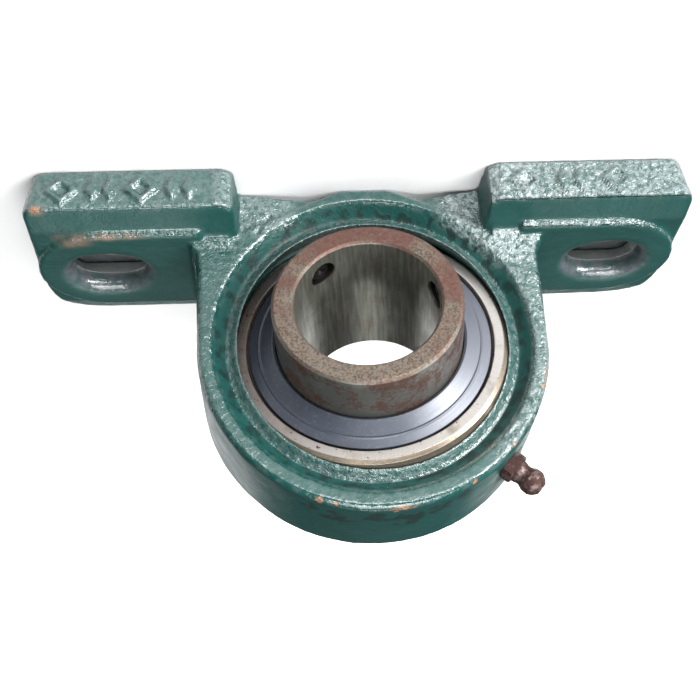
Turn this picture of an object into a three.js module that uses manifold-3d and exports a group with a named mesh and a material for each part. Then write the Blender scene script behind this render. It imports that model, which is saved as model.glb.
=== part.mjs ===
// Pillow block with a wide-inner-ring insert ball bearing for a 40 mm shaft.
// Millimetres, +Z up, base on z = 0, shaft along Y, long side of the inner ring towards -Y.
// The insert sits in a spherical seat and lies swivelled in it, as it does before a shaft is fitted.
import * as THREE from "three";
import { mergeVertices } from "three/addons/utils/BufferGeometryUtils.js";
import Module from "manifold-3d";

const wasm = await Module();
wasm.setup();

// ---- Driving dimensions -------------------------------------------------------------------

const GAP = 0.3; // clearance between neighbouring pieces

const SHAFT_HEIGHT = 49.2; // base to bore centre
const SWIVEL = { azimuth: 28, angle: 9 }; // axis in the XZ plane, degrees up from +X, and the lie

const FEET_OFFSET = 1.6; // the feet are cast this far towards +X of the bore
const FOOT = {
  inner: 37.5, // distance from the middle of the base where a foot block starts
  outer: 95, // half the base length
  halfWidth: 29,
  frontCorner: 3.5,
  backCorner: { along: 30, across: 27, power: 3.5 }, // a broad superellipse corner
  innerDraft: 2.4,
  endDraft: 1.4,
  sideDraft: 0.6,
  bottomRound: 1.4,
  edgeHeight: 13.4, // top of the slab at its long edges
  top: 15.4, // top of the slab beside the bolt pad
};
const CAVITY = { from: 44, to: 88, halfWidth: 22.8, corner: 5, height: 11, draft: 0.8 };
const PAD = { start: 46, arcCentre: 74.6, halfWidth: 19.9, topHalfWidth: 19.5, bottom: 12, top: 17.2 };
const SLOT = { centre: 74, y: 1, halfStraight: 2.4, radius: 8.8 };
const SLOT_RIM = { halfStraight: 1.4, radius: 12.8, depth: 3.6 };

const BODY = { halfDepth: 15.6, radius: 49, arcCentre: 50, edge: 1.2, flare: 1.6 };
const WEB = { halfDepth: 14.3, creaseTop: [38, 14], creaseFoot: [15, 3.3] };
const ARCH = [
  [16.5, 3],
  [22, 2.2],
  [29, 0.9],
  [36, 0],
];
const RING_PAD = 7; // half length of the flat under the ring
const ROOT_FILLET = { reach: 20, height: 19.4, base: 13 };

const SEAT = { radius: 40.15, halfWidth: 14, lipRadius: 38.2 };
const COVE = { inner: 40.4, outer: 41.4, inset: 11.1, easedInset: 11.6 }; // round the bead at the seat's lip
const MOUTH = { radius: 44.2, bevel: 1 };
const GREASE_GROOVE = { from: -7.2, to: -2.8, radius: 41.7 };
const NOTCH = { halfHeight: 10.8, radius: 40.7 };

const BORE = 20; // shaft radius
const INNER = { front: -30.2, back: 19, radius: 26.15, faceRadius: 25.3, boreChamfer: 0.7 };
const OUTER = { halfWidth: 10.5, sphere: 39.9, faceRadius: 37.6, chamfer: 0.9, shoulder: 33.5 };
const SEAL_RECESS = { radius: 34.9, from: 7.3 };
const BALL = { count: 9, radius: 5.95, pitch: 30 };
const GROOVE = 6.2; // raceway groove radius

const CAGE = { inner: 28.2, outer: 31.8, thickness: 0.8, pocket: 6.45 };
const RIVET = { shank: 0.8, head: 1.4, headHeight: 0.7, hole: 1.1 };
const SEAL = { inner: 26.5, from: 7.6, to: 8.4 };
const FLINGER = { inner: 26.45, outer: 34, rim: 9, hub: 13.8, ridge: 31.4, thickness: 0.8 };
const SET_SCREW = {
  y: -22.2,
  angles: [-53.5, -161.5],
  radius: 3.8,
  tip: 21,
  head: 27.2,
  socket: 2, // half the distance across the flats
  socketDepth: 3,
};
const OIL_HOLE = { y: -6.3, radius: 0.8, angles: [60, 180, 300] };

const NIPPLE = { y: -3, angle: 137, seat: 48.8, spotFace: 6.2, hole: 3.2, shank: 2.9, hexFlats: 7.6 };
const PASSAGE = { radius: 1.5, from: 40.5, to: 42.6 };

// How many flats stand for one turn of each kind of round surface
const TURN = { housing: 56, rings: 48, thinRings: 44, small: 20, tiny: 12, oilHole: 8, rivet: 6 };
const BALL_FACETS = { across: 12, along: 8 };

// ---- Solid helpers ------------------------------------------------------------------------

const radians = THREE.MathUtils.degToRad;

function toSolid(geometry) {
  const bare = (geometry.index ? geometry.toNonIndexed() : geometry).clone();
  bare.deleteAttribute("normal");
  bare.deleteAttribute("uv");
  const merged = mergeVertices(bare, 1e-4);
  const index = merged.index.array;
  const triangles = [];
  for (let i = 0; i < index.length; i += 3) {
    const [a, b, c] = [index[i], index[i + 1], index[i + 2]];
    if (a !== b && b !== c && c !== a) triangles.push(a, b, c);
  }
  return new wasm.Manifold(
    new wasm.Mesh({
      numProp: 3,
      vertProperties: new Float32Array(merged.getAttribute("position").array),
      triVerts: new Uint32Array(triangles),
    }),
  );
}

function toGeometry(solid) {
  const mesh = solid.getMesh();
  const geometry = new THREE.BufferGeometry();
  const vertices = new Float32Array(mesh.vertProperties);
  geometry.setAttribute("position", new THREE.BufferAttribute(vertices, 3));
  geometry.setIndex(new THREE.BufferAttribute(new Uint32Array(mesh.triVerts), 1));
  const flat = geometry.toNonIndexed();
  flat.computeVertexNormals();
  return flat;
}

const union = (solids) => solids.reduce((sum, solid) => sum.add(solid));
const cut = (solid, tools) => tools.reduce((rest, tool) => rest.subtract(tool), solid);

function arc(cx, cy, radius, fromDegrees, toDegrees, steps) {
  const points = [];
  for (let i = 0; i <= steps; i += 1) {
    const angle = radians(fromDegrees + ((toDegrees - fromDegrees) * i) / steps);
    points.push([cx + radius * Math.cos(angle), cy + radius * Math.sin(angle)]);
  }
  return points;
}

const signedArea = (points) =>
  points.reduce((sum, [x, y], i) => {
    const [nextX, nextY] = points[(i + 1) % points.length];
    return sum + (x * nextY - nextX * y) / 2;
  }, 0);
const anticlockwise = (points) => (signedArea(points) < 0 ? [...points].reverse() : points);
const mirrored = (points) => points.map(([x, y]) => [-x, y]);
const flippedY = (points) => points.map(([x, y]) => [x, -y]);

// A solid of revolution about Y from an (r, y) outline. An outline on the axis stays open there.
function turned(outline, segments) {
  const profile = anticlockwise(outline);
  const start = profile.findIndex(([r], i) => {
    const [previous] = profile[(i + profile.length - 1) % profile.length];
    return r === 0 && previous === 0;
  });
  const ordered =
    start < 0 ? [...profile, profile[0]] : [...profile.slice(start), ...profile.slice(0, start)];
  const points = ordered.map(([r, y]) => new THREE.Vector2(r, y));
  return new THREE.LatheGeometry(points, segments);
}

// An outline in the XZ plane run along Y between -halfDepth and +halfDepth, edges bevelled.
function frontPrism(outline, halfDepth, bevel = 0) {
  const shape = new THREE.Shape(anticlockwise(outline).map(([x, y]) => new THREE.Vector2(x, y)));
  const geometry = new THREE.ExtrudeGeometry(shape, {
    depth: 2 * (halfDepth - bevel),
    bevelEnabled: bevel > 0,
    bevelThickness: bevel,
    bevelSize: bevel,
    bevelOffset: -bevel,
    bevelSegments: 1,
  });
  geometry.translate(0, 0, bevel - halfDepth);
  geometry.rotateX(Math.PI / 2);
  return geometry;
}

// An outline in the YZ plane run along X.
function sidePrism(outline, fromX, toX) {
  const shape = new THREE.Shape(anticlockwise(outline).map(([y, z]) => new THREE.Vector2(y, z)));
  const depth = toX - fromX;
  const geometry = new THREE.ExtrudeGeometry(shape, { depth, bevelEnabled: false });
  const axes = new THREE.Matrix4().makeBasis(
    new THREE.Vector3(0, 1, 0),
    new THREE.Vector3(0, 0, 1),
    new THREE.Vector3(1, 0, 0),
  );
  return geometry.applyMatrix4(axes).translate(fromX, 0, 0);
}

// A solid through outlines of equal point count, each at its own height: [[z, points], ...].
function loft(levels) {
  const rings = levels.map(([z, points]) =>
    anticlockwise(points).map(([x, y]) => new THREE.Vector3(x, y, z)),
  );
  const count = rings[0].length;
  const positions = [];
  const face = (...corners) => corners.forEach((corner) => positions.push(...corner.toArray()));
  for (let level = 0; level + 1 < rings.length; level += 1) {
    const [low, high] = [rings[level], rings[level + 1]];
    for (let i = 0; i < count; i += 1) {
      const next = (i + 1) % count;
      face(low[i], low[next], high[next]);
      face(low[i], high[next], high[i]);
    }
  }
  const [bottom, top] = [rings[0], rings[rings.length - 1]];
  for (let i = 1; i + 1 < count; i += 1) {
    face(bottom[0], bottom[i + 1], bottom[i]);
    face(top[0], top[i], top[i + 1]);
  }
  const geometry = new THREE.BufferGeometry();
  geometry.setAttribute("position", new THREE.Float32BufferAttribute(positions, 3));
  return geometry;
}

function box(low, high) {
  const size = high.map((value, i) => value - low[i]);
  const middle = high.map((value, i) => (value + low[i]) / 2);
  return new THREE.BoxGeometry(...size).translate(...middle);
}

// Turns a geometry made along +Y so that it runs outwards at an angle in the XZ plane.
function radial(geometry, degrees, y = 0) {
  const direction = new THREE.Vector3(Math.cos(radians(degrees)), 0, Math.sin(radians(degrees)));
  const turn = new THREE.Quaternion().setFromUnitVectors(new THREE.Vector3(0, 1, 0), direction);
  return geometry.applyQuaternion(turn).translate(0, y, 0);
}

function rod(radius, from, to, segments) {
  return new THREE.CylinderGeometry(radius, radius, to - from, segments).translate(
    0,
    (from + to) / 2,
    0,
  );
}

// ---- Housing ------------------------------------------------------------------------------

// Plan outline of the +X foot. inset draws the outer sides in, endInset the outer end only.
function footPlan(inset = 0, endInset = 0) {
  const { inner, outer, halfWidth, frontCorner, backCorner, innerDraft } = FOOT;
  const side = halfWidth - inset;
  const end = outer - inset - endInset;
  const front = arc(end - frontCorner, frontCorner - side, frontCorner, -90, 0, 5);
  const back = [];
  for (let step = 0; step <= 9; step += 1) {
    const angle = radians(10 * step);
    const cosine = Math.cos(angle) ** (2 / backCorner.power);
    const sine = Math.sin(angle) ** (2 / backCorner.power);
    const x = end - backCorner.along * (1 - cosine);
    back.push([x, side - backCorner.across * (1 - sine)]);
  }
  return [
    [inner - innerDraft, -BODY.halfDepth + 2],
    [inner - innerDraft / 2, 2 - side],
    [inner + 2, -side],
    ...front,
    ...back,
    [inner + 2, side],
    [inner - innerDraft / 2, side - 2],
    [inner - innerDraft, BODY.halfDepth - 2],
  ];
}

function cavityPlan(inset) {
  const { from, to, halfWidth, corner } = CAVITY;
  const side = halfWidth - inset - corner;
  const far = to - inset - corner;
  const near = from + inset + corner;
  return [
    ...arc(far, -side, corner, -90, 0, 3),
    ...arc(far, side, corner, 0, 90, 3),
    ...arc(near, side, corner, 90, 180, 3),
    ...arc(near, -side, corner, 180, 270, 3),
  ];
}

function padPlan(halfWidth) {
  const nose = arc(PAD.arcCentre, 0, halfWidth, -90, 90, 16);
  return [[PAD.start, -halfWidth], ...nose, [PAD.start, halfWidth]];
}

function slotPlan(halfStraight, radius) {
  return [
    ...arc(SLOT.centre + halfStraight, SLOT.y, radius, -90, 90, 12),
    ...arc(SLOT.centre - halfStraight, SLOT.y, radius, 90, 270, 12),
  ];
}

function slotTool() {
  const blend = (t) => [
    SLOT.halfStraight + (SLOT_RIM.halfStraight - SLOT.halfStraight) * t,
    SLOT.radius + (SLOT_RIM.radius - SLOT.radius) * t,
  ];
  const rimFrom = PAD.top - SLOT_RIM.depth;
  const levels = [0, 30, 60, 90].map((degrees) => [
    rimFrom + SLOT_RIM.depth * Math.sin(radians(degrees)),
    slotPlan(...blend(1 - Math.cos(radians(degrees)))),
  ]);
  return loft([[-1, slotPlan(...blend(0))], ...levels, [PAD.top + 1, slotPlan(...blend(1.1))]]);
}

function foot(side) {
  const { bottomRound, endDraft, sideDraft, edgeHeight, halfWidth, top } = FOOT;
  const block = loft([
    [0, footPlan(bottomRound, endDraft)],
    [bottomRound * 0.3, footPlan(bottomRound * 0.4 + sideDraft, endDraft)],
    [bottomRound, footPlan(sideDraft, endDraft)],
    [edgeHeight - 0.9, footPlan()],
    [PAD.top, footPlan(1.8)],
  ]);
  const slopes = sidePrism(
    halfOutlineToFull([
      [halfWidth + 1, -1],
      [halfWidth + 1, edgeHeight - 1.4],
      [halfWidth - 0.9, edgeHeight],
      [PAD.halfWidth, top],
    ]),
    0,
    FOOT.outer + 1,
  );
  const pad = loft([
    [PAD.bottom, padPlan(PAD.halfWidth)],
    [PAD.top - 0.5, padPlan(PAD.halfWidth - 0.1)],
    [PAD.top, padPlan(PAD.topHalfWidth)],
  ]);
  const limits = loft([
    [-1, footPlan()],
    [PAD.top + 1, footPlan()],
  ]);
  const cavity = loft([
    [-1, cavityPlan(0)],
    [CAVITY.height - 1.2, cavityPlan(CAVITY.draft)],
    [CAVITY.height, cavityPlan(CAVITY.draft + 1.2)],
  ]);
  const raised = toSolid(pad).intersect(toSolid(limits));
  const solid = cut(toSolid(block).intersect(toSolid(slopes)).add(raised), [
    toSolid(slotTool()),
    toSolid(cavity),
  ]);
  const placed = side > 0 ? solid : solid.mirror([1, 0, 0]);
  return placed.translate([FEET_OFFSET, 0, 0]);
}

// Mirrors a half outline in x = 0. A last point on that line is shared, not repeated.
function halfOutlineToFull(half) {
  const shared = Math.abs(half[half.length - 1][0]) < 1e-6 ? 1 : 0;
  return [...half, ...mirrored(half).reverse().slice(shared)];
}

function housing() {
  const { radius, arcCentre, flare } = BODY;
  const face = halfOutlineToFull([
    [RING_PAD, 0],
    WEB.creaseFoot,
    WEB.creaseTop,
    [radius + flare, FOOT.top - 1],
    [radius + flare / 3, FOOT.top + 3],
    [radius, FOOT.top + 9],
    ...arc(0, arcCentre, radius, 0, 90, 20),
  ]);
  const webSide = [[10, 2], ...ARCH, [FOOT.inner + 3, 0], [FOOT.inner + 3, WEB.creaseTop[1]]];
  const webs = [webSide, mirrored(webSide)].map((outline) =>
    toSolid(frontPrism([...outline, [outline[0][0], 10]], WEB.halfDepth)),
  );
  const fillet = halfOutlineToFull([
    [ROOT_FILLET.reach, ROOT_FILLET.base],
    [ROOT_FILLET.reach, FOOT.top],
    [ROOT_FILLET.reach - 2.2, FOOT.top + 0.5],
    [ROOT_FILLET.reach - 3.6, FOOT.top + 1.9],
    [BODY.halfDepth - 0.1, ROOT_FILLET.height],
  ]);
  const shoulder = radius + flare;
  const filletSides = [
    sidePrism(fillet, FOOT.inner + FEET_OFFSET, shoulder),
    sidePrism(fillet, -shoulder, FEET_OFFSET - FOOT.inner),
  ].map(toSolid);
  const blank = union([
    toSolid(frontPrism(face, BODY.halfDepth, BODY.edge)),
    ...webs,
    foot(1),
    foot(-1),
    ...filletSides,
  ]);

  const bore = turned(boreOutline(), TURN.housing).translate(0, 0, SHAFT_HEIGHT);
  const notch = toSolid(
    box([-50, 0, -NOTCH.halfHeight], [50, BODY.halfDepth + 1, NOTCH.halfHeight]),
  )
    .intersect(toSolid(rod(NOTCH.radius, -1, BODY.halfDepth + 2, TURN.housing)))
    .translate([0, 0, SHAFT_HEIGHT]);
  const tapped = [
    rod(NIPPLE.hole, PASSAGE.to, BODY.radius + 4, TURN.small),
    rod(PASSAGE.radius, PASSAGE.from, PASSAGE.to + 1, TURN.tiny),
    rod(NIPPLE.spotFace, NIPPLE.seat, BODY.radius + 4, TURN.small),
  ].map((geometry) =>
    toSolid(radial(geometry, NIPPLE.angle, NIPPLE.y).translate(0, 0, SHAFT_HEIGHT)),
  );
  return toGeometry(cut(blank, [toSolid(bore), notch, ...tapped]));
}

// The (r, y) outline of the space inside the housing: rounded mouths, coves, lip beads and the seat.
function boreOutline() {
  const depth = BODY.halfDepth;
  const onSphere = (y) => [Math.sqrt(SEAT.radius ** 2 - y ** 2), y];
  const mouth = [
    [MOUTH.radius + MOUTH.bevel + 1, depth + 1],
    [MOUTH.radius + MOUTH.bevel, depth],
    [MOUTH.radius, depth - MOUTH.bevel],
    [COVE.outer, COVE.easedInset],
    [COVE.inner, COVE.inset],
    [SEAT.lipRadius, SEAT.halfWidth],
  ];
  return [
    [0, -depth - 1],
    ...flippedY(mouth),
    onSphere(-SEAT.halfWidth),
    onSphere(-SEAT.halfWidth + 3.4),
    onSphere(GREASE_GROOVE.from),
    [GREASE_GROOVE.radius, GREASE_GROOVE.from + 0.6],
    [GREASE_GROOVE.radius, GREASE_GROOVE.to - 0.6],
    onSphere(GREASE_GROOVE.to),
    onSphere(1.2),
    onSphere(5.4),
    onSphere(9.8),
    onSphere(SEAT.halfWidth),
    ...[...mouth].reverse(),
    [0, depth + 1],
  ];
}

// ---- Insert bearing, built about its own Y axis --------------------------------------------

function outerRing() {
  const { halfWidth, sphere, faceRadius, chamfer, shoulder } = OUTER;
  const sphereEdge = halfWidth - chamfer;
  const spherical = [-1, -0.66, -0.33, 0, 0.33, 0.66, 1].map((t) => {
    const y = t * sphereEdge;
    return [Math.sqrt(sphere ** 2 - y ** 2), y];
  });
  const lip = Math.sqrt(GROOVE ** 2 - (shoulder - BALL.pitch) ** 2);
  const lipAngle = THREE.MathUtils.radToDeg(Math.asin(lip / GROOVE));
  const raceway = arc(BALL.pitch, 0, GROOVE, lipAngle, -lipAngle, 6);
  const sealStep = [
    [SEAL_RECESS.radius, halfWidth],
    [SEAL_RECESS.radius, SEAL_RECESS.from],
    [shoulder, SEAL_RECESS.from],
  ];
  const outline = [
    [faceRadius, -halfWidth],
    ...spherical,
    [faceRadius, halfWidth],
    ...sealStep,
    ...raceway,
    ...flippedY(sealStep).reverse(),
  ];
  const holes = OIL_HOLE.angles.map((degrees) => {
    const drill = rod(OIL_HOLE.radius, shoulder - 1, sphere + 1, TURN.oilHole);
    return toSolid(radial(drill, degrees, OIL_HOLE.y));
  });
  return toGeometry(cut(toSolid(turned(outline, TURN.rings)), holes));
}

function innerRing() {
  const { front, back, radius, faceRadius, boreChamfer } = INNER;
  const faceChamfer = radius - faceRadius;
  const lip = Math.sqrt(GROOVE ** 2 - (BALL.pitch - radius) ** 2);
  const lipAngle = THREE.MathUtils.radToDeg(Math.asin(lip / GROOVE));
  const outline = [
    [BORE, front + boreChamfer],
    [BORE + boreChamfer, front],
    [faceRadius, front],
    [radius, front + faceChamfer],
    ...arc(BALL.pitch, 0, GROOVE, 180 + lipAngle, 180 - lipAngle, 6),
    [radius, back - faceChamfer],
    [faceRadius, back],
    [BORE + boreChamfer, back],
    [BORE, back - boreChamfer],
  ];
  const holes = SET_SCREW.angles.map((degrees) => {
    const drill = rod(SET_SCREW.radius + GAP, BORE - 2, radius + 2, TURN.small);
    return toSolid(radial(drill, degrees, SET_SCREW.y));
  });
  return toGeometry(cut(toSolid(turned(outline, TURN.rings)), holes));
}

// One wavy half of the ribbon cage: flat between the balls, bowed out round each ball.
function cageHalf(side) {
  const { inner, outer, thickness, pocket } = CAGE;
  const bow = pocket + thickness;
  const stations = [-7.25, -6.45, -5.7, -4.4, -2.3, 0, 2.3, 4.4, 5.7, 6.45, 7.25];
  const pitchAngle = (2 * Math.PI) / BALL.count;
  const midway = (BALL.pitch * pitchAngle) / 2;
  const height = (along, size, least) =>
    Math.max(least, Math.sqrt(Math.max(0, size ** 2 - along ** 2)));
  const sections = [];
  for (let ball = 0; ball < BALL.count; ball += 1) {
    for (const along of [-midway, ...stations]) {
      const angle = ballAngle(ball) + along / BALL.pitch;
      const near = side * height(along, pocket, GAP / 2);
      const far = side * height(along, bow, GAP / 2 + thickness);
      const at = (r, y) => new THREE.Vector3(r * Math.cos(angle), y, r * Math.sin(angle));
      sections.push([at(inner, near), at(outer, near), at(outer, far), at(inner, far)]);
    }
  }
  const positions = [];
  sections.forEach((section, i) => {
    const next = sections[(i + 1) % sections.length];
    for (let corner = 0; corner < 4; corner += 1) {
      const other = (corner + 1) % 4;
      const quad = [section[corner], section[other], next[other], next[corner]];
      if (side < 0) quad.reverse();
      const [a, b, c, d] = quad;
      [a, b, c, a, c, d].forEach((point) => positions.push(...point.toArray()));
    }
  });
  const ribbon = new THREE.BufferGeometry();
  ribbon.setAttribute("position", new THREE.Float32BufferAttribute(positions, 3));
  const holes = rivetPlaces().map(([x, z]) =>
    toSolid(rod(RIVET.hole, -3, 3, TURN.rivet).translate(x, 0, z)),
  );
  return toGeometry(cut(toSolid(ribbon), holes));
}

function ballAngle(index) {
  return radians(90) + (index * 2 * Math.PI) / BALL.count;
}

function rivetPlaces() {
  return Array.from({ length: BALL.count }, (_, i) => {
    const angle = ballAngle(i + 0.5);
    return [BALL.pitch * Math.cos(angle), BALL.pitch * Math.sin(angle)];
  });
}

function rivet() {
  const under = GAP / 2 + CAGE.thickness + 0.05;
  const half = [
    [RIVET.shank, under],
    [RIVET.head, under],
    [RIVET.head, under + RIVET.headHeight * 0.5],
    [RIVET.shank, under + RIVET.headHeight],
    [0, under + RIVET.headHeight],
  ];
  return turned([...flippedY(half).reverse(), ...half], TURN.rivet);
}

function seal(side) {
  const { inner, from, to } = SEAL;
  const outer = SEAL_RECESS.radius - GAP;
  const outline = [
    [inner, from + 0.2],
    [inner + 0.6, from],
    [outer, from],
    [outer, to],
    [inner, to],
  ];
  return turned(side > 0 ? outline : flippedY(outline), TURN.thinRings);
}

function flinger(side) {
  const { inner, outer, rim, hub, ridge, thickness } = FLINGER;
  const outline = [
    [inner, hub - 1.5],
    [inner + 0.8, hub - thickness],
    [ridge - 3.4, hub - 0.9 - thickness],
    [ridge - 0.8, hub - 2.6 - thickness],
    [outer - thickness, rim + 0.4],
    [outer - thickness, rim],
    [outer, rim],
    [outer, rim + 0.9],
    [ridge + 0.4, rim + 2],
    [ridge, rim + 2.45],
    [ridge - 0.5, hub - 2.6],
    [ridge - 3, hub - 0.9],
    [inner + 0.8, hub],
    [inner, hub - 0.6],
  ];
  return turned(side > 0 ? outline : flippedY(outline), TURN.thinRings);
}

function setScrew() {
  const { radius, tip, head, socket, socketDepth } = SET_SCREW;
  const outline = [
    [0, tip],
    [radius - 1.4, tip],
    [radius, tip + 1.4],
    [radius, head - 0.6],
    [radius - 0.6, head],
    [0, head],
  ];
  const hexRadius = socket / Math.cos(radians(30));
  const hexagon = new THREE.CylinderGeometry(hexRadius, hexRadius, 2 * socketDepth, 6);
  hexagon.translate(0, head, 0);
  return toSolid(turned(outline, TURN.small)).subtract(toSolid(hexagon));
}

// ---- Grease nipple, built outwards along +Y from the bore centre -----------------------------

const HEX_FROM = NIPPLE.seat + 0.25;
const HEX_TO = HEX_FROM + 3.4;
const HEAD_TOP = HEX_TO + 8.2;
const VALVE = { radius: 1.15, seat: HEAD_TOP - 1.35, travel: 0.7, chamber: 1.45, orifice: 0.7 };
const SPRING = { radius: 0.95, wire: 0.2, turns: 3, from: HEX_TO - 0.5 };

function nippleBody() {
  const shankEnd = PASSAGE.to + GAP;
  const outline = [
    [0, shankEnd],
    [NIPPLE.shank - 0.4, shankEnd],
    [NIPPLE.shank, shankEnd + 0.6],
    [NIPPLE.shank, HEX_TO],
    [3.3, HEX_TO + 0.3],
    [3, HEX_TO + 1.5],
    [3, HEX_TO + 2.3],
    [3.75, HEX_TO + 3.8],
    [3.75, HEX_TO + 5.8],
    [2.9, HEX_TO + 7.3],
    [1.8, HEAD_TOP],
    [0, HEAD_TOP],
  ];
  const hexRadius = NIPPLE.hexFlats / 2 / Math.cos(radians(30));
  const hexagon = new THREE.CylinderGeometry(hexRadius, hexRadius, HEX_TO - HEX_FROM, 6);
  hexagon.translate(0, (HEX_FROM + HEX_TO) / 2, 0);
  const inside = [
    [0, shankEnd - 1],
    [0.9, shankEnd - 1],
    [0.9, SPRING.from - GAP],
    [VALVE.chamber, SPRING.from - GAP],
    [VALVE.chamber, VALVE.seat],
    [VALVE.orifice, VALVE.seat + 0.75],
    [VALVE.orifice, HEAD_TOP + 1],
    [0, HEAD_TOP + 1],
  ];
  const blank = toSolid(turned(outline, TURN.small)).add(toSolid(hexagon));
  return toGeometry(blank.subtract(toSolid(turned(inside, TURN.tiny))));
}

function nippleSpring() {
  const to = VALVE.seat - VALVE.radius - VALVE.travel - SPRING.wire;
  const from = SPRING.from + SPRING.wire;
  class Helix extends THREE.Curve {
    getPoint(t, target = new THREE.Vector3()) {
      const angle = 2 * Math.PI * SPRING.turns * t;
      const y = from + (to - from) * t;
      return target.set(SPRING.radius * Math.cos(angle), y, SPRING.radius * Math.sin(angle));
    }
  }
  const wire = new THREE.Shape(
    arc(0, 0, SPRING.wire, 0, 288, 4).map(([x, y]) => new THREE.Vector2(x, y)),
  );
  return new THREE.ExtrudeGeometry(wire, {
    steps: SPRING.turns * 10,
    bevelEnabled: false,
    extrudePath: new Helix(),
  });
}

// ---- Assembly -----------------------------------------------------------------------------

function metal(colour, roughness, metalness) {
  return { color: new THREE.Color(...colour), roughness, metalness };
}

const FINISH = {
  enamel: metal([0.03, 0.17, 0.15], 0.35, 0.1),
  outerRing: metal([0.74, 0.71, 0.62], 0.35, 0.9),
  innerRing: metal([0.36, 0.3, 0.25], 0.45, 0.9),
  ball: metal([0.8, 0.8, 0.8], 0.12, 1),
  cage: metal([0.6, 0.6, 0.58], 0.4, 0.9),
  seal: metal([0.03, 0.03, 0.04], 0.7, 0),
  flinger: metal([0.1, 0.13, 0.19], 0.4, 0.6),
  setScrew: metal([0.07, 0.06, 0.06], 0.5, 0.9),
  nipple: metal([0.36, 0.24, 0.21], 0.6, 0.7),
};

function piece(parent, name, geometry, finish) {
  const mesh = new THREE.Mesh(geometry, new THREE.MeshStandardMaterial(finish));
  mesh.name = name;
  parent.add(mesh);
  return mesh;
}

const pillowBlock = new THREE.Group();
piece(pillowBlock, "housing", housing(), FINISH.enamel);

const insert = new THREE.Group();
insert.position.z = SHAFT_HEIGHT;
const azimuth = radians(SWIVEL.azimuth);
const swivelAxis = new THREE.Vector3(Math.cos(azimuth), 0, Math.sin(azimuth));
insert.quaternion.setFromAxisAngle(swivelAxis, radians(SWIVEL.angle));
pillowBlock.add(insert);

piece(insert, "outer_ring", outerRing(), FINISH.outerRing);
piece(insert, "inner_ring", innerRing(), FINISH.innerRing);
const ballGeometry = new THREE.SphereGeometry(BALL.radius, BALL_FACETS.across, BALL_FACETS.along);
for (let i = 0; i < BALL.count; i += 1) {
  const ball = piece(insert, `ball_${i + 1}`, ballGeometry, FINISH.ball);
  ball.position.set(BALL.pitch * Math.cos(ballAngle(i)), 0, BALL.pitch * Math.sin(ballAngle(i)));
}
rivetPlaces().forEach(([x, z], i) => {
  const fastener = piece(insert, `cage_rivet_${i + 1}`, rivet(), FINISH.cage);
  fastener.position.set(x, 0, z);
});
for (const [end, side] of [
  ["front", -1],
  ["back", 1],
]) {
  piece(insert, `cage_${end}`, cageHalf(side), FINISH.cage);
  piece(insert, `seal_${end}`, seal(side), FINISH.seal);
  piece(insert, `flinger_${end}`, flinger(side), FINISH.flinger);
}
SET_SCREW.angles.forEach((degrees, i) => {
  const screw = radial(toGeometry(setScrew()), degrees, SET_SCREW.y);
  piece(insert, `set_screw_${i + 1}`, screw, FINISH.setScrew);
});

const nipple = new THREE.Group();
nipple.position.set(0, NIPPLE.y, SHAFT_HEIGHT);
const outward = new THREE.Vector3(
  Math.cos(radians(NIPPLE.angle)),
  0,
  Math.sin(radians(NIPPLE.angle)),
);
nipple.quaternion.setFromUnitVectors(new THREE.Vector3(0, 1, 0), outward);
pillowBlock.add(nipple);
piece(nipple, "nipple_body", nippleBody(), FINISH.nipple);
piece(nipple, "nipple_spring", nippleSpring(), FINISH.cage);
const valveBall = new THREE.SphereGeometry(VALVE.radius, BALL_FACETS.across, BALL_FACETS.along);
piece(nipple, "nipple_check_ball", valveBall, FINISH.ball).position.y = VALVE.seat - 0.35;

export default pillowBlock;
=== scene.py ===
import math

import bmesh
import bpy
import numpy as np
from mathutils import Matrix, Quaternion, Vector, noise


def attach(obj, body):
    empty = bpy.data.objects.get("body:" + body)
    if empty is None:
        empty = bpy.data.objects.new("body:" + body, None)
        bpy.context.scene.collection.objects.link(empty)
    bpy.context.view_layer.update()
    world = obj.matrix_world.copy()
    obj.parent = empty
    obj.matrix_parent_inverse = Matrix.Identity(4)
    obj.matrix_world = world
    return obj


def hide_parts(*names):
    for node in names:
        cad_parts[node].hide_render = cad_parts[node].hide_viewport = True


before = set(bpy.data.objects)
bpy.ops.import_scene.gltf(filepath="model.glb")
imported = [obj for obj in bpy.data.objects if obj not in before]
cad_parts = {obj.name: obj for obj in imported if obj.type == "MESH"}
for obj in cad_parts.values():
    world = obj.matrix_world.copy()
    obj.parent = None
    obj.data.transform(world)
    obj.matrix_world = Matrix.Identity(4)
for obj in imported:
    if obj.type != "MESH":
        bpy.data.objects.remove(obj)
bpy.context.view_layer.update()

MM = 0.001
DEGREE = math.pi / 180

# ---- Driving dimensions, as in the CAD part ---------------------------------------------------

SHAFT_HEIGHT = 49.2
SWIVEL = {"azimuth": 28, "angle": 9}
GAP = 0.3

BODY = {"half_depth": 15.6, "radius": 49, "arc_centre": 50, "flats": 80}
BORE_FLATS = 56  # flats round the CAD housing's bore
MOUTH_RADIUS = 44.2
COVE = {"start": 40.5, "full": 41.2}  # radii between which the enamel turns to the cove's duller skin under painted shade
SEAT = {"lip": 37.6, "half_width": 14, "bead": 11, "bead_radius": 40.4}
FOOT_FACE = 29  # distance of the feet's front faces from the middle
FEET_OFFSET = 1.6
SLOT = {"centre": 74, "y": 1, "half_straight": 2.4, "radius": 8.8, "rim": 12.4}
CORE = {"from": 43.5, "to": 88.5, "half_width": 23.3, "height": 11.5}  # hollow under each foot

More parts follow.
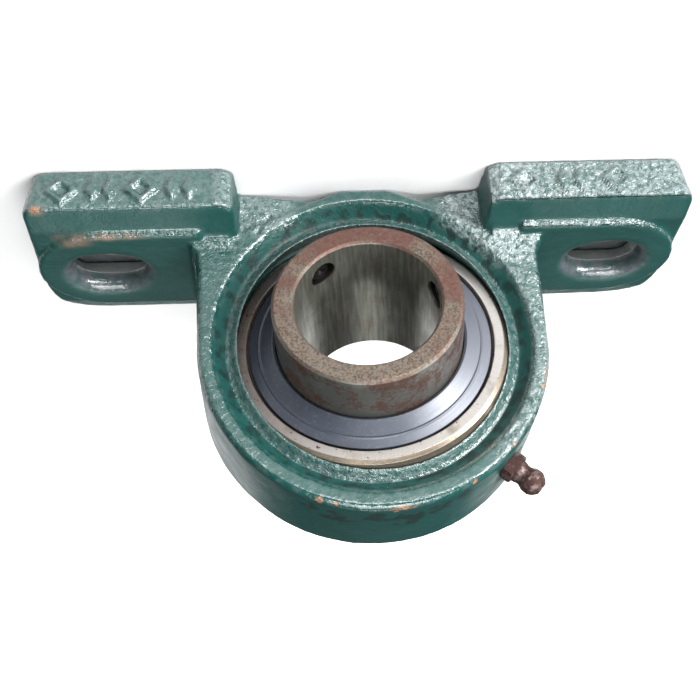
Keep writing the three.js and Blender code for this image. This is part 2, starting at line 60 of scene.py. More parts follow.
BORE = 20
INNER = {"front": -30.2, "back": 19, "radius": 26.15, "face_radius": 25.3, "chamfer": 0.7}
OUTER = {"half_width": 10.5, "sphere": 39.9, "face": 37.6, "chamfer": 0.9, "shoulder": 33.5}
RECESS = {"radius": 34.9, "depth": 7.3}
BALLS = {"count": 9, "radius": 5.95, "pitch": 30}
GROOVE = 6.2
CAGE = {"inner": 28.2, "outer": 31.8, "thickness": 0.8, "pocket": 6.45}
RIVET = {"shank": 0.8, "head": 1.4, "height": 0.7}
SEAL = {"inner": 26.5, "near": 7.6, "far": 8.4}
FLINGER = {"inner": 26.45, "outer": 34, "rim": 9, "hub": 13.8, "ridge": 31.4, "thickness": 0.8}
SCREW = {"y": -22.2, "angles": (-53.5, -161.5), "radius": 3.8, "tip": 21, "head": 27.2, "socket": 2}
OIL_HOLE = {"y": -6.3, "radius": 0.8, "angles": (60, 180, 300)}

NIPPLE = {"y": -3, "angle": 137, "shank_end": 42.9, "shank": 2.9, "hex": (49.05, 52.45), "flats": 7.6}
NIPPLE_TOP = 60.65
VALVE = {"radius": 1.15, "seat": 59.3, "chamber": 1.45, "orifice": 0.7, "travel": 0.7}
SPRING = {"radius": 0.95, "wire": 0.2, "turns": 3, "start": 51.95}

# ---- Mesh helpers -----------------------------------------------------------------------------


def arc(centre_r, centre_y, radius, start, end, steps):
    """Points of an arc, between two angles in degrees."""
    angles = [start + (end - start) * i / steps for i in range(steps + 1)]
    return [
        (centre_r + radius * math.cos(a * DEGREE), centre_y + radius * math.sin(a * DEGREE))
        for a in angles
    ]


def rounded(outline, radius, steps=4):
    """Rounds each corner of a closed outline that turns by more than 20 degrees."""
    points = []
    count = len(outline)
    for i in range(count):
        before, corner, after = (Vector(outline[(i + k) % count]) for k in (-1, 0, 1))
        back, ahead = before - corner, after - corner
        if back.length < 1e-6 or ahead.length < 1e-6:
            continue
        turn = math.pi - back.angle(ahead)
        if turn < 20 * DEGREE:
            points.append(tuple(corner))
            continue
        reach = min(radius * math.tan(turn / 2), 0.45 * back.length, 0.45 * ahead.length)
        start = corner + back.normalized() * reach
        end = corner + ahead.normalized() * reach
        for step in range(steps + 1):
            t = step / steps
            points.append(tuple((1 - t) ** 2 * start + 2 * t * (1 - t) * corner + t**2 * end))
    return points


def finish_mesh(bm, name, sharp=40):
    """Closes a bmesh that was built in millimetres into a smooth-shaded mesh in metres."""
    bmesh.ops.remove_doubles(bm, verts=bm.verts, dist=1e-4)
    bmesh.ops.recalc_face_normals(bm, faces=bm.faces)
    bm.transform(Matrix.Scale(MM, 4))
    mesh = bpy.data.meshes.new(name)
    bm.to_mesh(mesh)
    bm.free()
    mesh.shade_smooth()
    mesh.set_sharp_from_angle(angle=sharp * DEGREE)
    return mesh


def lathe(outline, segments):
    """A bmesh turned about Y from a closed (r, y) outline. Points on the axis are shared."""
    bm = bmesh.new()
    rings = []
    for radius, y in outline:
        if radius < 1e-6:
            rings.append([bm.verts.new((0, y, 0))] * segments)
            continue
        turn = 2 * math.pi / segments
        rings.append(
            [
                bm.verts.new((radius * math.cos(turn * i), y, radius * math.sin(turn * i)))
                for i in range(segments)
            ]
        )
    for index, ring in enumerate(rings):
        other = rings[(index + 1) % len(rings)]
        for i in range(segments):
            j = (i + 1) % segments
            corners = list(dict.fromkeys((ring[i], ring[j], other[j], other[i])))
            if len(corners) > 2:
                bm.faces.new(corners)
    return bm


def turned(name, outline, segments=256, edge=0.25):
    """A turned piece from its closed (r, y) outline, with the corners rounded."""
    return finish_mesh(lathe(rounded(outline, edge), segments), name)


def flipped(outline):
    """The (r, y) outline mirrored to the other side of the piece's middle."""
    return [(radius, -y) for radius, y in outline]


def modified(mesh, modifiers):
    """The mesh after a list of (type, settings) modifiers."""
    scratch = bpy.data.objects.new("scratch", mesh)
    bpy.context.scene.collection.objects.link(scratch)
    for kind, settings in modifiers:
        modifier = scratch.modifiers.new(kind.lower(), kind)
        for key, value in settings.items():
            setattr(modifier, key, value)
    graph = bpy.context.evaluated_depsgraph_get()
    result = bpy.data.meshes.new_from_object(scratch.evaluated_get(graph))
    bpy.data.objects.remove(scratch)
    return result


def pierced(mesh, tools):
    """The mesh with each tool mesh cut out of it."""
    for tool in tools:
        cutter = bpy.data.objects.new("cutter", tool)
        bpy.context.scene.collection.objects.link(cutter)
        settings = {"operation": "DIFFERENCE", "solver": "EXACT", "object": cutter}
        mesh = modified(mesh, [("BOOLEAN", settings)])
        bpy.data.objects.remove(cutter)
    mesh.shade_smooth()
    mesh.set_sharp_from_angle(angle=40 * DEGREE)
    return mesh


def outward(degrees, y=0):
    """The placing of something made along +Y so that it runs outwards in the XZ plane, in mm."""
    direction = Vector((math.cos(degrees * DEGREE), 0, math.sin(degrees * DEGREE)))
    turn = Vector((0, 1, 0)).rotation_difference(direction).to_matrix().to_4x4()
    return Matrix.Translation((0, y, 0)) @ turn


def in_metres(matrix):
    """A placing made in millimetres, with its shift in metres."""
    placed = matrix.copy()
    placed.translation = matrix.translation * MM
    return placed


def hole_tool(radius, start, end, placing, flare=0.35):
    """A round tool whose outer end opens out by flare, to take the edge off a hole."""
    outline = [(0, start), (radius, start), (radius, end), (radius + flare, end + flare)]
    outline += [(radius + flare, end + 3), (0, end + 3)]
    bm = lathe(outline, 48)
    bm.transform(placing)
    return finish_mesh(bm, "tool")


def show(name, mesh, material, body, nodes, placing=None):
    """Puts a piece on show: what it is made of, what it moves with and what it stands for."""
    piece = bpy.data.objects.new(name, mesh)
    bpy.context.scene.collection.objects.link(piece)
    if placing is not None:
        piece.matrix_world = in_metres(placing)
    piece.data.materials.clear()
    piece.data.materials.append(material)
    normals = piece.modifiers.new("face_weighted_normals", "WEIGHTED_NORMAL")
    normals.keep_sharp = True
    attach(piece, body)
    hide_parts(*nodes)
    return piece


def smoothstep(values, low, high):
    """0 below low and 1 above high, with a smooth rise between them."""
    t = np.clip((values - low) / (high - low), 0, 1)
    return t * t * (3 - 2 * t)


# ---- Materials --------------------------------------------------------------------------------


class Finish:
    """A procedural material under construction. The lengths given to it are millimetres."""

    def __init__(self, name, **uniform):
        self.material = bpy.data.materials.new(name)
        self.material.use_nodes = True
        self.tree = self.material.node_tree
        self.shader = self.tree.nodes["Principled BSDF"]
        self.place = self.add("TexCoord").outputs["Object"]
        for key, value in uniform.items():
            self.shader.inputs[key.replace("_", " ").title().replace("Ior", "IOR")].default_value = value

    def add(self, kind, settings=(), **inputs):
        node = self.tree.nodes.new("ShaderNode" + kind)
        for key, value in dict(settings).items():
            setattr(node, key, value)
        for key, value in inputs.items():
            self.feed(node.inputs[key], value)
        return node

    def feed(self, socket, value):
        if isinstance(value, bpy.types.NodeSocket):
            self.tree.links.new(value, socket)
        else:
            socket.default_value = value

    def set(self, key, value):
        self.feed(self.shader.inputs[key], value)

    def noise(self, size, detail=3.0, place=None, twist=0.0, shift=0.0):
        """Noise with blots of about this size, from 0 to 1."""
        where = self.place if place is None else place
        if shift:
            where = self.add("VectorMath", {"operation": "ADD"}).outputs[0]
            self.feed(where.node.inputs[0], self.place if place is None else place)
            where.node.inputs[1].default_value = (shift * MM,) * 3
        node = self.add("TexNoise", Vector=where, Scale=1 / (size * MM), Detail=detail)
        node.inputs["Distortion"].default_value = twist
        return node.outputs[0]

    def spread(self, value, low, high, out_low=0.0, out_high=1.0):
        """Maps low..high smoothly on to out_low..out_high and holds it there beyond."""
        node = self.add("MapRange", {"interpolation_type": "SMOOTHSTEP"})
        numbers = {"Value": value, "From Min": low, "From Max": high, "To Min": out_low, "To Max": out_high}
        for key, number in numbers.items():
            self.feed(node.inputs[key], number)
        return node.outputs[0]

    def math(self, operation, a, b=0.0):
        node = self.add("Math", {"operation": operation, "use_clamp": False})
        self.feed(node.inputs[0], a)
        self.feed(node.inputs[1], b)
        return node.outputs[0]

    def mix(self, share, a, b):
        """Colour a turning into colour b as share goes from 0 to 1."""
        node = self.add("Mix", {"data_type": "RGBA"})
        self.feed(node.inputs[0], share)
        self.feed(node.inputs[6], a if isinstance(a, bpy.types.NodeSocket) else (*a, 1))
        self.feed(node.inputs[7], b if isinstance(b, bpy.types.NodeSocket) else (*b, 1))
        return node.outputs[2]

    def painted(self, name):
        return self.add("Attribute", {"attribute_name": name}).outputs["Fac"]

    def polar(self):
        """(radius, y, angle) about the piece's own Y axis, the lengths in metres."""
        parts = self.add("SeparateXYZ", Vector=self.place).outputs
        flat = self.add("VectorMath", {"operation": "MULTIPLY"})
        self.feed(flat.inputs[0], self.place)
        flat.inputs[1].default_value = (1, 0, 1)
        length = self.add("VectorMath", {"operation": "LENGTH"})
        self.feed(length.inputs[0], flat.outputs[0])
        return length.outputs["Value"], parts[1], self.math("ARCTAN2", parts[2], parts[0])

    def round_grain(self, size, length=14, detail=4.0):
        """Fine marks that run round the Y axis, as turning and grinding leave them."""
        radius, y, angle = self.polar()
        place = self.add("CombineXYZ", X=radius, Y=y, Z=self.math("MULTIPLY", angle, 30 * MM * size / length))
        return self.noise(size, detail, place.outputs[0])

    def ray_grain(self, size, length=8, detail=4.0):
        """Fine marks that run straight out from the Y axis."""
        radius, y, angle = self.polar()
        place = self.add(
            "CombineXYZ",
            X=self.math("MULTIPLY", radius, size / length),
            Y=self.math("MULTIPLY", y, size / length),
            Z=self.math("MULTIPLY", angle, 30 * MM),
        )
        return self.noise(size, detail, place.outputs[0])

    def bump(self, height, depth, under=None):
        """Relief of this depth in millimetres, laid over the relief under it."""
        node = self.add("Bump", Height=height, Distance=depth * MM)
        if under is not None:
            self.feed(node.inputs["Normal"], under)
        return node.outputs[0]

    def worn(self, soft, hard, low, high):
        """Blotches: wide noise that decides where, broken up by fine noise."""
        wide = self.math("MULTIPLY", self.noise(soft, 2.0), 0.65)
        fine = self.math("MULTIPLY", self.noise(hard, 5.0, shift=31), 0.35)
        return self.spread(self.math("ADD", wide, fine), low, high)


def enamel():
    """Thick dark green enamel, brushed over a rough casting, chipped down to rust in places."""
    f = Finish("enamel", metallic=0.0, coat_ior=1.62, specular_ior_level=0.35)
    crinkle, gloss_and_sheen = f.painted("crinkle"), f.painted("gloss_and_sheen")
    tone = f.mix(f.noise(16, 3.0), (0.0016, 0.038, 0.033), (0.0035, 0.06, 0.052))
    # Painted sheen: front-facing faces are mixed in patches towards pale grey, as a reflection of the bright
    # floor in front would pale them.
    painted_sheen = f.spread(f.noise(2.2, 5.0, shift=9), 0.36, 0.7, 0.0, 0.16)
    tone = f.mix(f.math("MULTIPLY", painted_sheen, gloss_and_sheen), tone, (0.2, 0.23, 0.23))
    # Painted glints: where this attribute is high, the enamel turns in patches to a pale grey-green, as if
    # light glinted off the crinkles.
    patchy = f.spread(f.noise(1.5, 3.0, twist=0.6), 0.4, 0.56, 0.2, 1.0)
    painted_glints = f.math("MULTIPLY", f.painted("painted_glints"), patchy)
    tone = f.mix(painted_glints, tone, (0.3, 0.355, 0.355))
    # Dark smudges of dirt on the round top, and painted shade darkening the cove round the mouth.
    smudge_and_shade = f.math("ADD", f.painted("grime_and_cove_shade"), f.spread(f.noise(3.4, 5.0, shift=40), 0.3, 0.7, -0.5, 0.5))
    tone = f.mix(f.spread(smudge_and_shade, 0.5, 0.95, 0.0, 0.75), tone, (0.003, 0.012, 0.011))
    # The walls of the bolt slots turn in streaks to a paler grey.
    streaks = f.spread(f.noise(2.6, 4.0, shift=21), 0.3, 0.7, 0.35, 0.95)
    tone = f.mix(f.math("MULTIPLY", f.painted("pale_slot_wall"), streaks), tone, (0.085, 0.09, 0.1))
    # Painted light: the walls of the hollows under the feet are mixed to pale grey so that they don't sit in
    # dark shade.
    tone = f.mix(f.painted("hollow_painted_light"), tone, (0.5, 0.54, 0.53))
    rust = f.mix(f.noise(0.8, 4.0), (0.12, 0.042, 0.02), (0.36, 0.19, 0.095))
    film = f.spread(f.noise(3.4, 4.0, shift=12), 0.3, 0.7, 0.2, 0.9)
    tone = f.mix(f.math("MULTIPLY", f.painted("stain"), film), tone, (0.19, 0.125, 0.085))
    ragged = f.math("ADD", f.painted("chip"), f.spread(f.noise(1.0, 6.0, shift=4), 0.3, 0.7, -0.45, 0.45))
    chipped = f.spread(ragged, 0.5, 0.62)
    f.set("Base Color", f.mix(chipped, tone, rust))
    dull = f.spread(gloss_and_sheen, 0.0, 1.0, 0.5, 0.26)
    rough = f.math("ADD", dull, f.spread(f.noise(6, 3.0, shift=17), 0.3, 0.7, -0.05, 0.08))
    f.set("Roughness", f.math("MAXIMUM", rough, f.math("MULTIPLY", chipped, 0.85)))
    f.set("Coat Weight", f.spread(gloss_and_sheen, 0.0, 1.0, 0.12, 0.95))
    f.set("Coat Roughness", f.spread(gloss_and_sheen, 0.0, 1.0, 0.35, 0.14))
    wrinkles = f.math("MULTIPLY", f.noise(1.15, 2.5, twist=0.6), crinkle)
    lumps = f.bump(f.math("MULTIPLY", f.noise(3.0, 2.0, shift=50), crinkle), 0.8)
    peel = f.bump(f.noise(0.8, 3.0, shift=5), 0.05, lumps)
    skin = f.bump(wrinkles, 0.95, peel)
    whole = f.math("SUBTRACT", 1.0, chipped)
    f.set("Normal", f.bump(whole, 0.1, skin))
    f.feed(f.shader.inputs["Coat Normal"], skin)
    return f.material


def outer_steel():
    """The outer ring: ground pale face with rays of grain, browned edges and small rust dots."""
    f = Finish("outer_ring_steel", metallic=0.85, anisotropic=0.6)
    radius = f.polar()[0]
    across = f.add("SeparateXYZ", Vector=f.place).outputs[0]
    # Painted reflection and shade: the face goes from pale towards -X to brown towards +X, as bright and dark
    # surroundings would show in it.
    shaded = f.spread(across, 4 * MM, 36 * MM)
    chamfer = f.spread(radius, 37.3 * MM, 37.8 * MM)
    edge_in = f.spread(radius, 35.3 * MM, 34.9 * MM)
    stained = f.spread(f.math("ADD", f.noise(7, 3.0), f.math("MULTIPLY", edge_in, 0.2)), 0.55, 0.76)
    pale = f.mix(f.ray_grain(0.22, 9), (0.47, 0.44, 0.41), (0.7, 0.675, 0.65))
    brown = f.mix(f.ray_grain(0.3, 5), (0.12, 0.095, 0.085), (0.27, 0.235, 0.225))
    tan = f.mix(f.noise(0.9, 5.0, shift=3), (0.15, 0.105, 0.07), (0.33, 0.28, 0.21))
    dots = f.spread(f.noise(1.5, 5.0, shift=13), 0.64, 0.7)
    tone = f.mix(shaded, pale, brown)
    tone = f.mix(f.math("MULTIPLY", stained, 0.6), tone, tan)
    tone = f.mix(f.math("MULTIPLY", chamfer, 0.9), tone, tan)
    tone = f.mix(dots, tone, (0.12, 0.045, 0.022))
    f.set("Base Color", tone)
    rough = f.spread(f.round_grain(0.3), 0.3, 0.7, 0.3, 0.46)
    f.set("Roughness", f.math("ADD", rough, f.math("MULTIPLY", stained, 0.25)))
    grain = f.bump(f.ray_grain(0.25, 10), 0.02)
    f.set("Normal", f.bump(f.noise(0.8, 4.0), 0.03, grain))
    return f.material


def inner_steel():
    """The inner ring: greyish turned steel, mottled with red-brown rust from storage."""
    f = Finish("inner_ring_steel", metallic=0.75)
    radius, y, angle = f.polar()
    steel = f.mix(f.round_grain(0.35, 20), (0.12, 0.122, 0.11), (0.22, 0.222, 0.2))
    rust = f.mix(f.noise(0.7, 5.0), (0.055, 0.026, 0.02), (0.17, 0.105, 0.085))
    blotches = f.worn(7, 1.0, 0.46, 0.6)
    face = f.spread(y, (INNER["front"] + 1.0) * MM, (INNER["front"] + 0.2) * MM)
    pits = f.spread(f.noise(0.6, 5.0, shift=18), 0.32, 0.62)
    grit = f.mix(pits, (0.085, 0.066, 0.053), (0.2, 0.162, 0.128))
    redder = f.mix(f.noise(0.9, 4.0, shift=28), (0.075, 0.026, 0.02), (0.19, 0.095, 0.078))
    parts = f.add("SeparateXYZ", Vector=f.place).outputs
    lean = f.math("ADD", f.math("MULTIPLY", parts[0], -0.6), f.math("MULTIPLY", parts[2], -0.8))
    leaning = f.math("ADD", f.noise(12, 4.0, shift=33), f.math("MULTIPLY", lean, 0.16 / (25 * MM)))
    grit = f.mix(f.spread(leaning, 0.44, 0.68, 0.0, 0.85), grit, redder)
    speckled = f.math("MULTIPLY", face, f.spread(f.noise(1.3, 5.0, shift=8), 0.3, 0.52, 0.5, 1.0))
    inside = f.spread(radius, (BORE + 0.35) * MM, (BORE + 0.1) * MM)
    streaks = f.add("CombineXYZ", X=f.math("MULTIPLY", angle, 20 * MM), Y=f.math("MULTIPLY", y, 0.08))
    drawn = f.spread(f.noise(1.1, 3.0, streaks.outputs[0]), 0.35, 0.65)
    barrel = f.mix(drawn, (0.125, 0.128, 0.105), (0.215, 0.22, 0.19))
    steel = f.mix(inside, steel, barrel)
    outside_rust = f.math("MULTIPLY", blotches, f.math("SUBTRACT", 1.0, f.math("MULTIPLY", inside, 0.72)))
    # Painted shade: the walls of the set screw holes are made near black.
    beyond_bore = f.spread(radius, (BORE + 0.3) * MM, (BORE + 0.9) * MM)
    below_skin = f.spread(radius, (INNER["radius"] - 0.2) * MM, (INNER["radius"] - 0.8) * MM)
    off_face = f.spread(y, (INNER["front"] + 1.6) * MM, (INNER["front"] + 2.4) * MM)
    near_screws = f.math("MULTIPLY", off_face, f.spread(y, -13 * MM, -15 * MM))
    painted_hole_shade = f.math("MULTIPLY", near_screws, f.math("MULTIPLY", beyond_bore, below_skin))
    tone = f.mix(speckled, f.mix(outside_rust, steel, rust), grit)
    f.set("Base Color", f.mix(painted_hole_shade, tone, (0.02, 0.019, 0.017)))
    share = f.math("MAXIMUM", outside_rust, speckled)
    rough = f.spread(f.round_grain(0.5, 25), 0.3, 0.7, 0.28, 0.45)
    f.set("Roughness", f.math("ADD", rough, f.math("MULTIPLY", share, 0.25)))
    turning = f.bump(f.round_grain(0.3, 30), 0.025)
    f.set("Normal", f.bump(f.math("MULTIPLY", share, f.noise(0.6, 4.0)), 0.08, turning))
    return f.material


def flinger_paint():
    """Pressed steel washer blued to a slate navy, with faint drawing rings and dust."""
    f = Finish("flinger_paint", metallic=0.4, coat_weight=0.5, coat_roughness=0.4, coat_ior=1.7)
    tone = f.mix(f.noise(9, 3.0), (0.028, 0.036, 0.052), (0.05, 0.06, 0.084))
    dust = f.spread(f.noise(0.9, 6.0, shift=6), 0.52, 0.75, 0.0, 0.35)
    # Painted sheen: the washer turns pale lavender grey towards -X, as a reflection of the light on that
    # side.
    across = f.add("SeparateXYZ", Vector=f.place).outputs[0]
    painted_sheen_side = f.spread(across, -4 * MM, -33 * MM, 0.0, 0.62)
    tone = f.mix(painted_sheen_side, tone, (0.17, 0.18, 0.215))
    f.set("Base Color", f.mix(dust, tone, (0.13, 0.135, 0.15)))
    f.set("Roughness", f.spread(f.round_grain(0.6, 25), 0.3, 0.7, 0.42, 0.55))
    rings = f.bump(f.round_grain(0.45, 60), 0.02)
    f.set("Normal", f.bump(f.noise(1.2, 4.0), 0.02, rings))
    return f.material


def seal_rubber():
    """Black moulded rubber with faint rings."""
    f = Finish("seal_rubber", metallic=0.0)
    f.set("Base Color", f.mix(f.noise(2, 4.0), (0.012, 0.012, 0.014), (0.03, 0.029, 0.03)))
    f.set("Roughness", f.spread(f.noise(1.1, 4.0), 0.3, 0.7, 0.5, 0.75))
    f.set("Normal", f.bump(f.round_grain(0.4, 30), 0.03))
    return f.material


def black_screw():
    """Blackened steel set screw, with oil and a little rust."""
    f = Finish("screw_steel", metallic=0.9)
    tone = f.mix(f.noise(2, 4.0), (0.012, 0.012, 0.012), (0.04, 0.037, 0.035))
    f.set("Base Color", f.mix(f.worn(3, 0.6, 0.56, 0.68), tone, (0.05, 0.024, 0.016)))
    f.set("Roughness", f.spread(f.noise(0.7, 4.0), 0.3, 0.7, 0.35, 0.6))
    f.set("Normal", f.bump(f.noise(0.5, 4.0), 0.03))
    return f.material


def rusty_nipple():
    """Plated nipple gone purplish brown, the plating left on the wear points."""
    f = Finish("nipple_steel", metallic=0.55)
    plating = f.mix(f.noise(1.5, 4.0), (0.09, 0.062, 0.058), (0.2, 0.15, 0.14))
    rust = f.mix(f.noise(0.6, 5.0), (0.025, 0.011, 0.01), (0.08, 0.036, 0.03))
    share = f.worn(2.4, 0.7, 0.38, 0.54)
    f.set("Base Color", f.mix(share, plating, rust))
    f.set("Roughness", f.spread(share, 0.0, 1.0, 0.32, 0.7))
    f.set("Normal", f.bump(f.noise(0.55, 5.0), 0.09))
    return f.material


def bright_steel(name, tone, rough, grain):
    """Clean steel inside the bearing, filmed with grease."""
    f = Finish(name, metallic=1.0)
    f.set("Base Color", f.mix(f.noise(4, 3.0), tone, tuple(0.72 * c for c in tone)))
    f.set("Roughness", f.spread(f.noise(1.5, 4.0), 0.3, 0.7, rough, rough + 0.14))
    f.set("Normal", f.bump(f.noise(grain, 4.0), 0.008))
    return f.material


# ---- Housing ----------------------------------------------------------------------------------

VOXEL = 0.6
STILL_HEIGHT = 0.6  # the machined underside below this height isn't roughened
WAVES = ((0.13, 13, 1), (0.08, 5.5, 2))  # height, size and seed of the casting's unevenness
RIPPLE = {"height": 0.28, "size": 2.0, "seed": 3, "stretch": (0.75, 1, 1.25)}
CHIPS = [
    # place on the casting in mm and radius of the bare patch
    ((92.4, -28.6, 13.2), 1.3),
    ((17.4, -15.0, 96.0), 1.3),
    ((13.0, -15.2, 97.2), 1.1),
    ((-5.4, -15.0, 99.0), 1.2),
    ((-8.0, -14.6, 98.8), 1.0),
    ((-3.0, -13.4, 99.2), 0.9),
    ((-24.6, -15.2, 92.2), 1.0),
    ((-36.3, -15.4, 82.4), 1.0),
    ((-46.4, -15.2, 65.2), 1.1),
]
STAINS = [
    # soft rust films: place and half lengths along X, Y and Z
    ((84.5, -17.6, 16.8), (8.0, 3.2, 2.2)),
    ((75.0, -19.4, 16.8), (13.0, 1.8, 1.6)),
    ((92.4, -28.4, 13.2), (2.6, 2.2, 2.2)),
    ((-47.4, -15.2, 62.0), (1.6, 1.4, 3.5)),
    ((-5.5, -14.8, 99.0), (6.0, 1.4, 1.4)),
]
GRIME = [
    # dark smudges on the round top: angle about the arc's centre, place along the shaft, radius
    (98, -6.0, 5.5),
    (88, -9.0, 4.5),
    (76, -6.5, 5.0),
    (108, -8.5, 4.5),
    (66, -9.0, 3.6),
    (117, -9.5, 4.0),
]
FOLDS = [
    # both ends as (x, z), depth and half width
    ((27.8, 8.0), (31.7, 14.0), 0.7, 1.2),
    ((-40.5, 68.0), (-44.0, 76.0), 0.6, 1.2),
    ((-33.0, 80.5), (-38.0, 76.5), 0.4, 1.0),
]
MARKS = {"height": 7.2, "relief": 1.2, "edge": 0.5, "plus_x": (84, 73, 62, 51), "minus_x": (47, 60, 73)}


def lozenge_depth(points, x, z, half_width, half_height):
    """How far inside a lozenge in the XZ plane each point is, in mm, negative outside."""
    across = np.abs(points[:, 0] - x) / half_width + np.abs(points[:, 2] - z) / half_height
    return (1 - across) * half_width * half_height / math.hypot(half_width, half_height)


def mark_relief(points):
    """Height of the plain lozenge rings and paired lozenges cast on the fronts of the feet."""
    z = MARKS["height"]
    inside = np.full(len(points), -9.0)
    places = [FEET_OFFSET + x for x in MARKS["plus_x"]] + [FEET_OFFSET - x for x in MARKS["minus_x"]]
    for index, x in enumerate(places):
        if index % 2:
            left = lozenge_depth(points, x - 2.4, z, 2.3, 4.3)
            right = lozenge_depth(points, x + 2.4, z, 2.3, 4.3)
            inside = np.maximum(inside, np.maximum(left, right))
        else:
            ring = np.minimum(lozenge_depth(points, x, z, 5.2, 4.9), -lozenge_depth(points, x, z, 2.3, 2.1))
            inside = np.maximum(inside, ring)
    front = smoothstep(-points[:, 1], FOOT_FACE - 2.0, FOOT_FACE - 1.2)
    return MARKS["relief"] * front * smoothstep(inside, -0.1, MARKS["edge"])


def fold_depth(points):
    """Depth of the small cold folds in the casting's front face."""
    flat = points[:, (0, 2)]
    depth = np.zeros(len(points))
    for start, end, deep, wide in FOLDS:
        start, along = np.array(start), np.array(end) - np.array(start)
        share = np.clip((flat - start) @ along / (along @ along), 0, 1)
        away = np.linalg.norm(flat - start - share[:, None] * along, axis=1)
        depth = np.maximum(depth, deep * (1 - smoothstep(away, 0.2 * wide, wide)))
    return depth * smoothstep(-points[:, 1], 12.0, 13.5)


def without_flats(points):
    """Draws the flats of the CAD's turned surfaces out to true circles."""
    for centre, flats, low, high, upper in (
        (SHAFT_HEIGHT, BORE_FLATS, SEAT["lip"] - 0.8, 46.2, False),
        (BODY["arc_centre"], BODY["flats"], 47.0, 49.6, True),
    ):
        x, z = points[:, 0], points[:, 2] - centre
        radius = np.hypot(x, z)
        step = 2 * math.pi / flats
        off_middle = np.mod(np.arctan2(z, x), step) - step / 2
        chosen = (radius > low) & (radius < high) & (np.abs(points[:, 1]) < BODY["half_depth"] + 0.2)
        if upper:
            chosen &= z > 0
        stretch = np.where(chosen, np.cos(off_middle) / math.cos(step / 2), 1.0)
        points[:, 0] = x * stretch
        points[:, 2] = z * stretch + centre
    return points


def crinkle_share(points, normals):
    """How coarsely the casting is crinkled at each point, and how strongly painted glints pale its skin
    there, from 0 to 1.
    """
    x, y, z = points.T
    radius = np.hypot(x, z - SHAFT_HEIGHT)
    facing = smoothstep(-normals[:, 1], 0.45, 0.85)
    front = smoothstep(-y, 12.0, 14.0)
    web = front * smoothstep(-z, -30, -22) * smoothstep(np.abs(x), 18, 27) * smoothstep(-np.abs(x), -52, -46)
    bead = smoothstep(-radius, -SEAT["bead_radius"] - 1, -SEAT["bead_radius"]) * smoothstep(
        np.abs(y), SEAT["bead"] - 1, SEAT["bead"]
    )
    strip = front * smoothstep(-x, 26, 36) * smoothstep(radius, 43.5, 45)
    other_strip = front * smoothstep(x, 26, 36) * smoothstep(radius, 43.5, 45)
    root = front * smoothstep(-z, -17, -12) * smoothstep(-np.abs(x), -46, -42) * smoothstep(np.abs(x), 18, 24)
    text_face = smoothstep(-y, 26.5, 28) * smoothstep(-x, 36, 39)
    other_text = smoothstep(-y, 26.5, 28) * smoothstep(x, 36, 39)
    right_web = web * smoothstep(-x, 0, 5)
    marks = smoothstep(mark_relief(points), 0.1, 0.5)
    calm = 1 - 0.85 * marks
    share = np.full(len(x), 0.13)
    parts = (0.15 * web, right_web, 0.75 * root, 0.6 * strip, 0.4 * other_strip)
    for part in (*parts, text_face * calm, 0.3 * other_text):
        share = np.maximum(share, part * facing)
    share = np.maximum(share, 0.4 * bead)
    # Painted glints on the front faces of the webs, root, strip, ledge and feet, weaker on the cast marks.
    painted_glints = 0.16 * bead
    plain = 1 - 0.9 * marks
    for part in (0.75 * right_web, 0.3 * root, 0.3 * strip, 0.5 * text_face * plain, 0.12 * other_text):
        painted_glints = np.maximum(painted_glints, part * facing)
    return share, painted_glints


def spots(points, places):
    """1 at each place, falling to 0 beyond its radius."""
    share = np.zeros(len(points))
    for place, radius in places:
        distance = np.linalg.norm(points - np.array(place), axis=1)
        share = np.maximum(share, 1 - smoothstep(distance, 0.35 * radius, 1.5 * radius))
    return share


def films(points, places):
    """1 at each place, falling to 0 beyond its reach along X, Y and Z."""
    share = np.zeros(len(points))
    for place, reach in places:
        distance = np.linalg.norm((points - np.array(place)) / np.array(reach), axis=1)
        share = np.maximum(share, 1 - smoothstep(distance, 0.2, 1.25))
    return share


def slot_walls(points):
    """1 on the walls of the two bolt slots, where the enamel turns paler grey, and 0 elsewhere."""
    share = np.zeros(len(points))
    for side in (1, -1):
        x = np.maximum(np.abs(points[:, 0] - FEET_OFFSET - side * SLOT["centre"]) - SLOT["half_straight"], 0)
        radius = np.hypot(x, points[:, 1] - SLOT["y"])
        share = np.maximum(share, smoothstep(-radius, -SLOT["rim"], -SLOT["radius"] - 0.9))
    return share * smoothstep(points[:, 2], 1.5, 3.5)


def cored_inside(points, normals):
    """1 on the walls of the hollows under the feet, which get painted light in place of their shade, and 0
    elsewhere.
    """
    x, y, z = np.abs(points[:, 0] - FEET_OFFSET), np.abs(points[:, 1]), points[:, 2]
    within = (x > CORE["from"]) & (x < CORE["to"]) & (y < CORE["half_width"]) & (z < CORE["height"])
    middle = np.sign(points[:, 0]) * (CORE["from"] + CORE["to"]) / 2 + FEET_OFFSET
    outwards = (points[:, 0] - middle) * normals[:, 0] + points[:, 1] * normals[:, 1]
    return (within & (outwards < 2) & (z > 0.6)).astype(float)


def field(points, size, seed):
    """Smooth noise from -1 to 1 at each point, with waves of about this size."""
    offset = Vector((seed, 2 * seed, 3 * seed))
    return np.array([noise.noise(Vector(p) / size + offset) for p in points])


def vertex_array(mesh, what):
    values = np.zeros(len(mesh.vertices) * 3)
    mesh.vertices.foreach_get(what, values)
    return values.reshape(-1, 3)


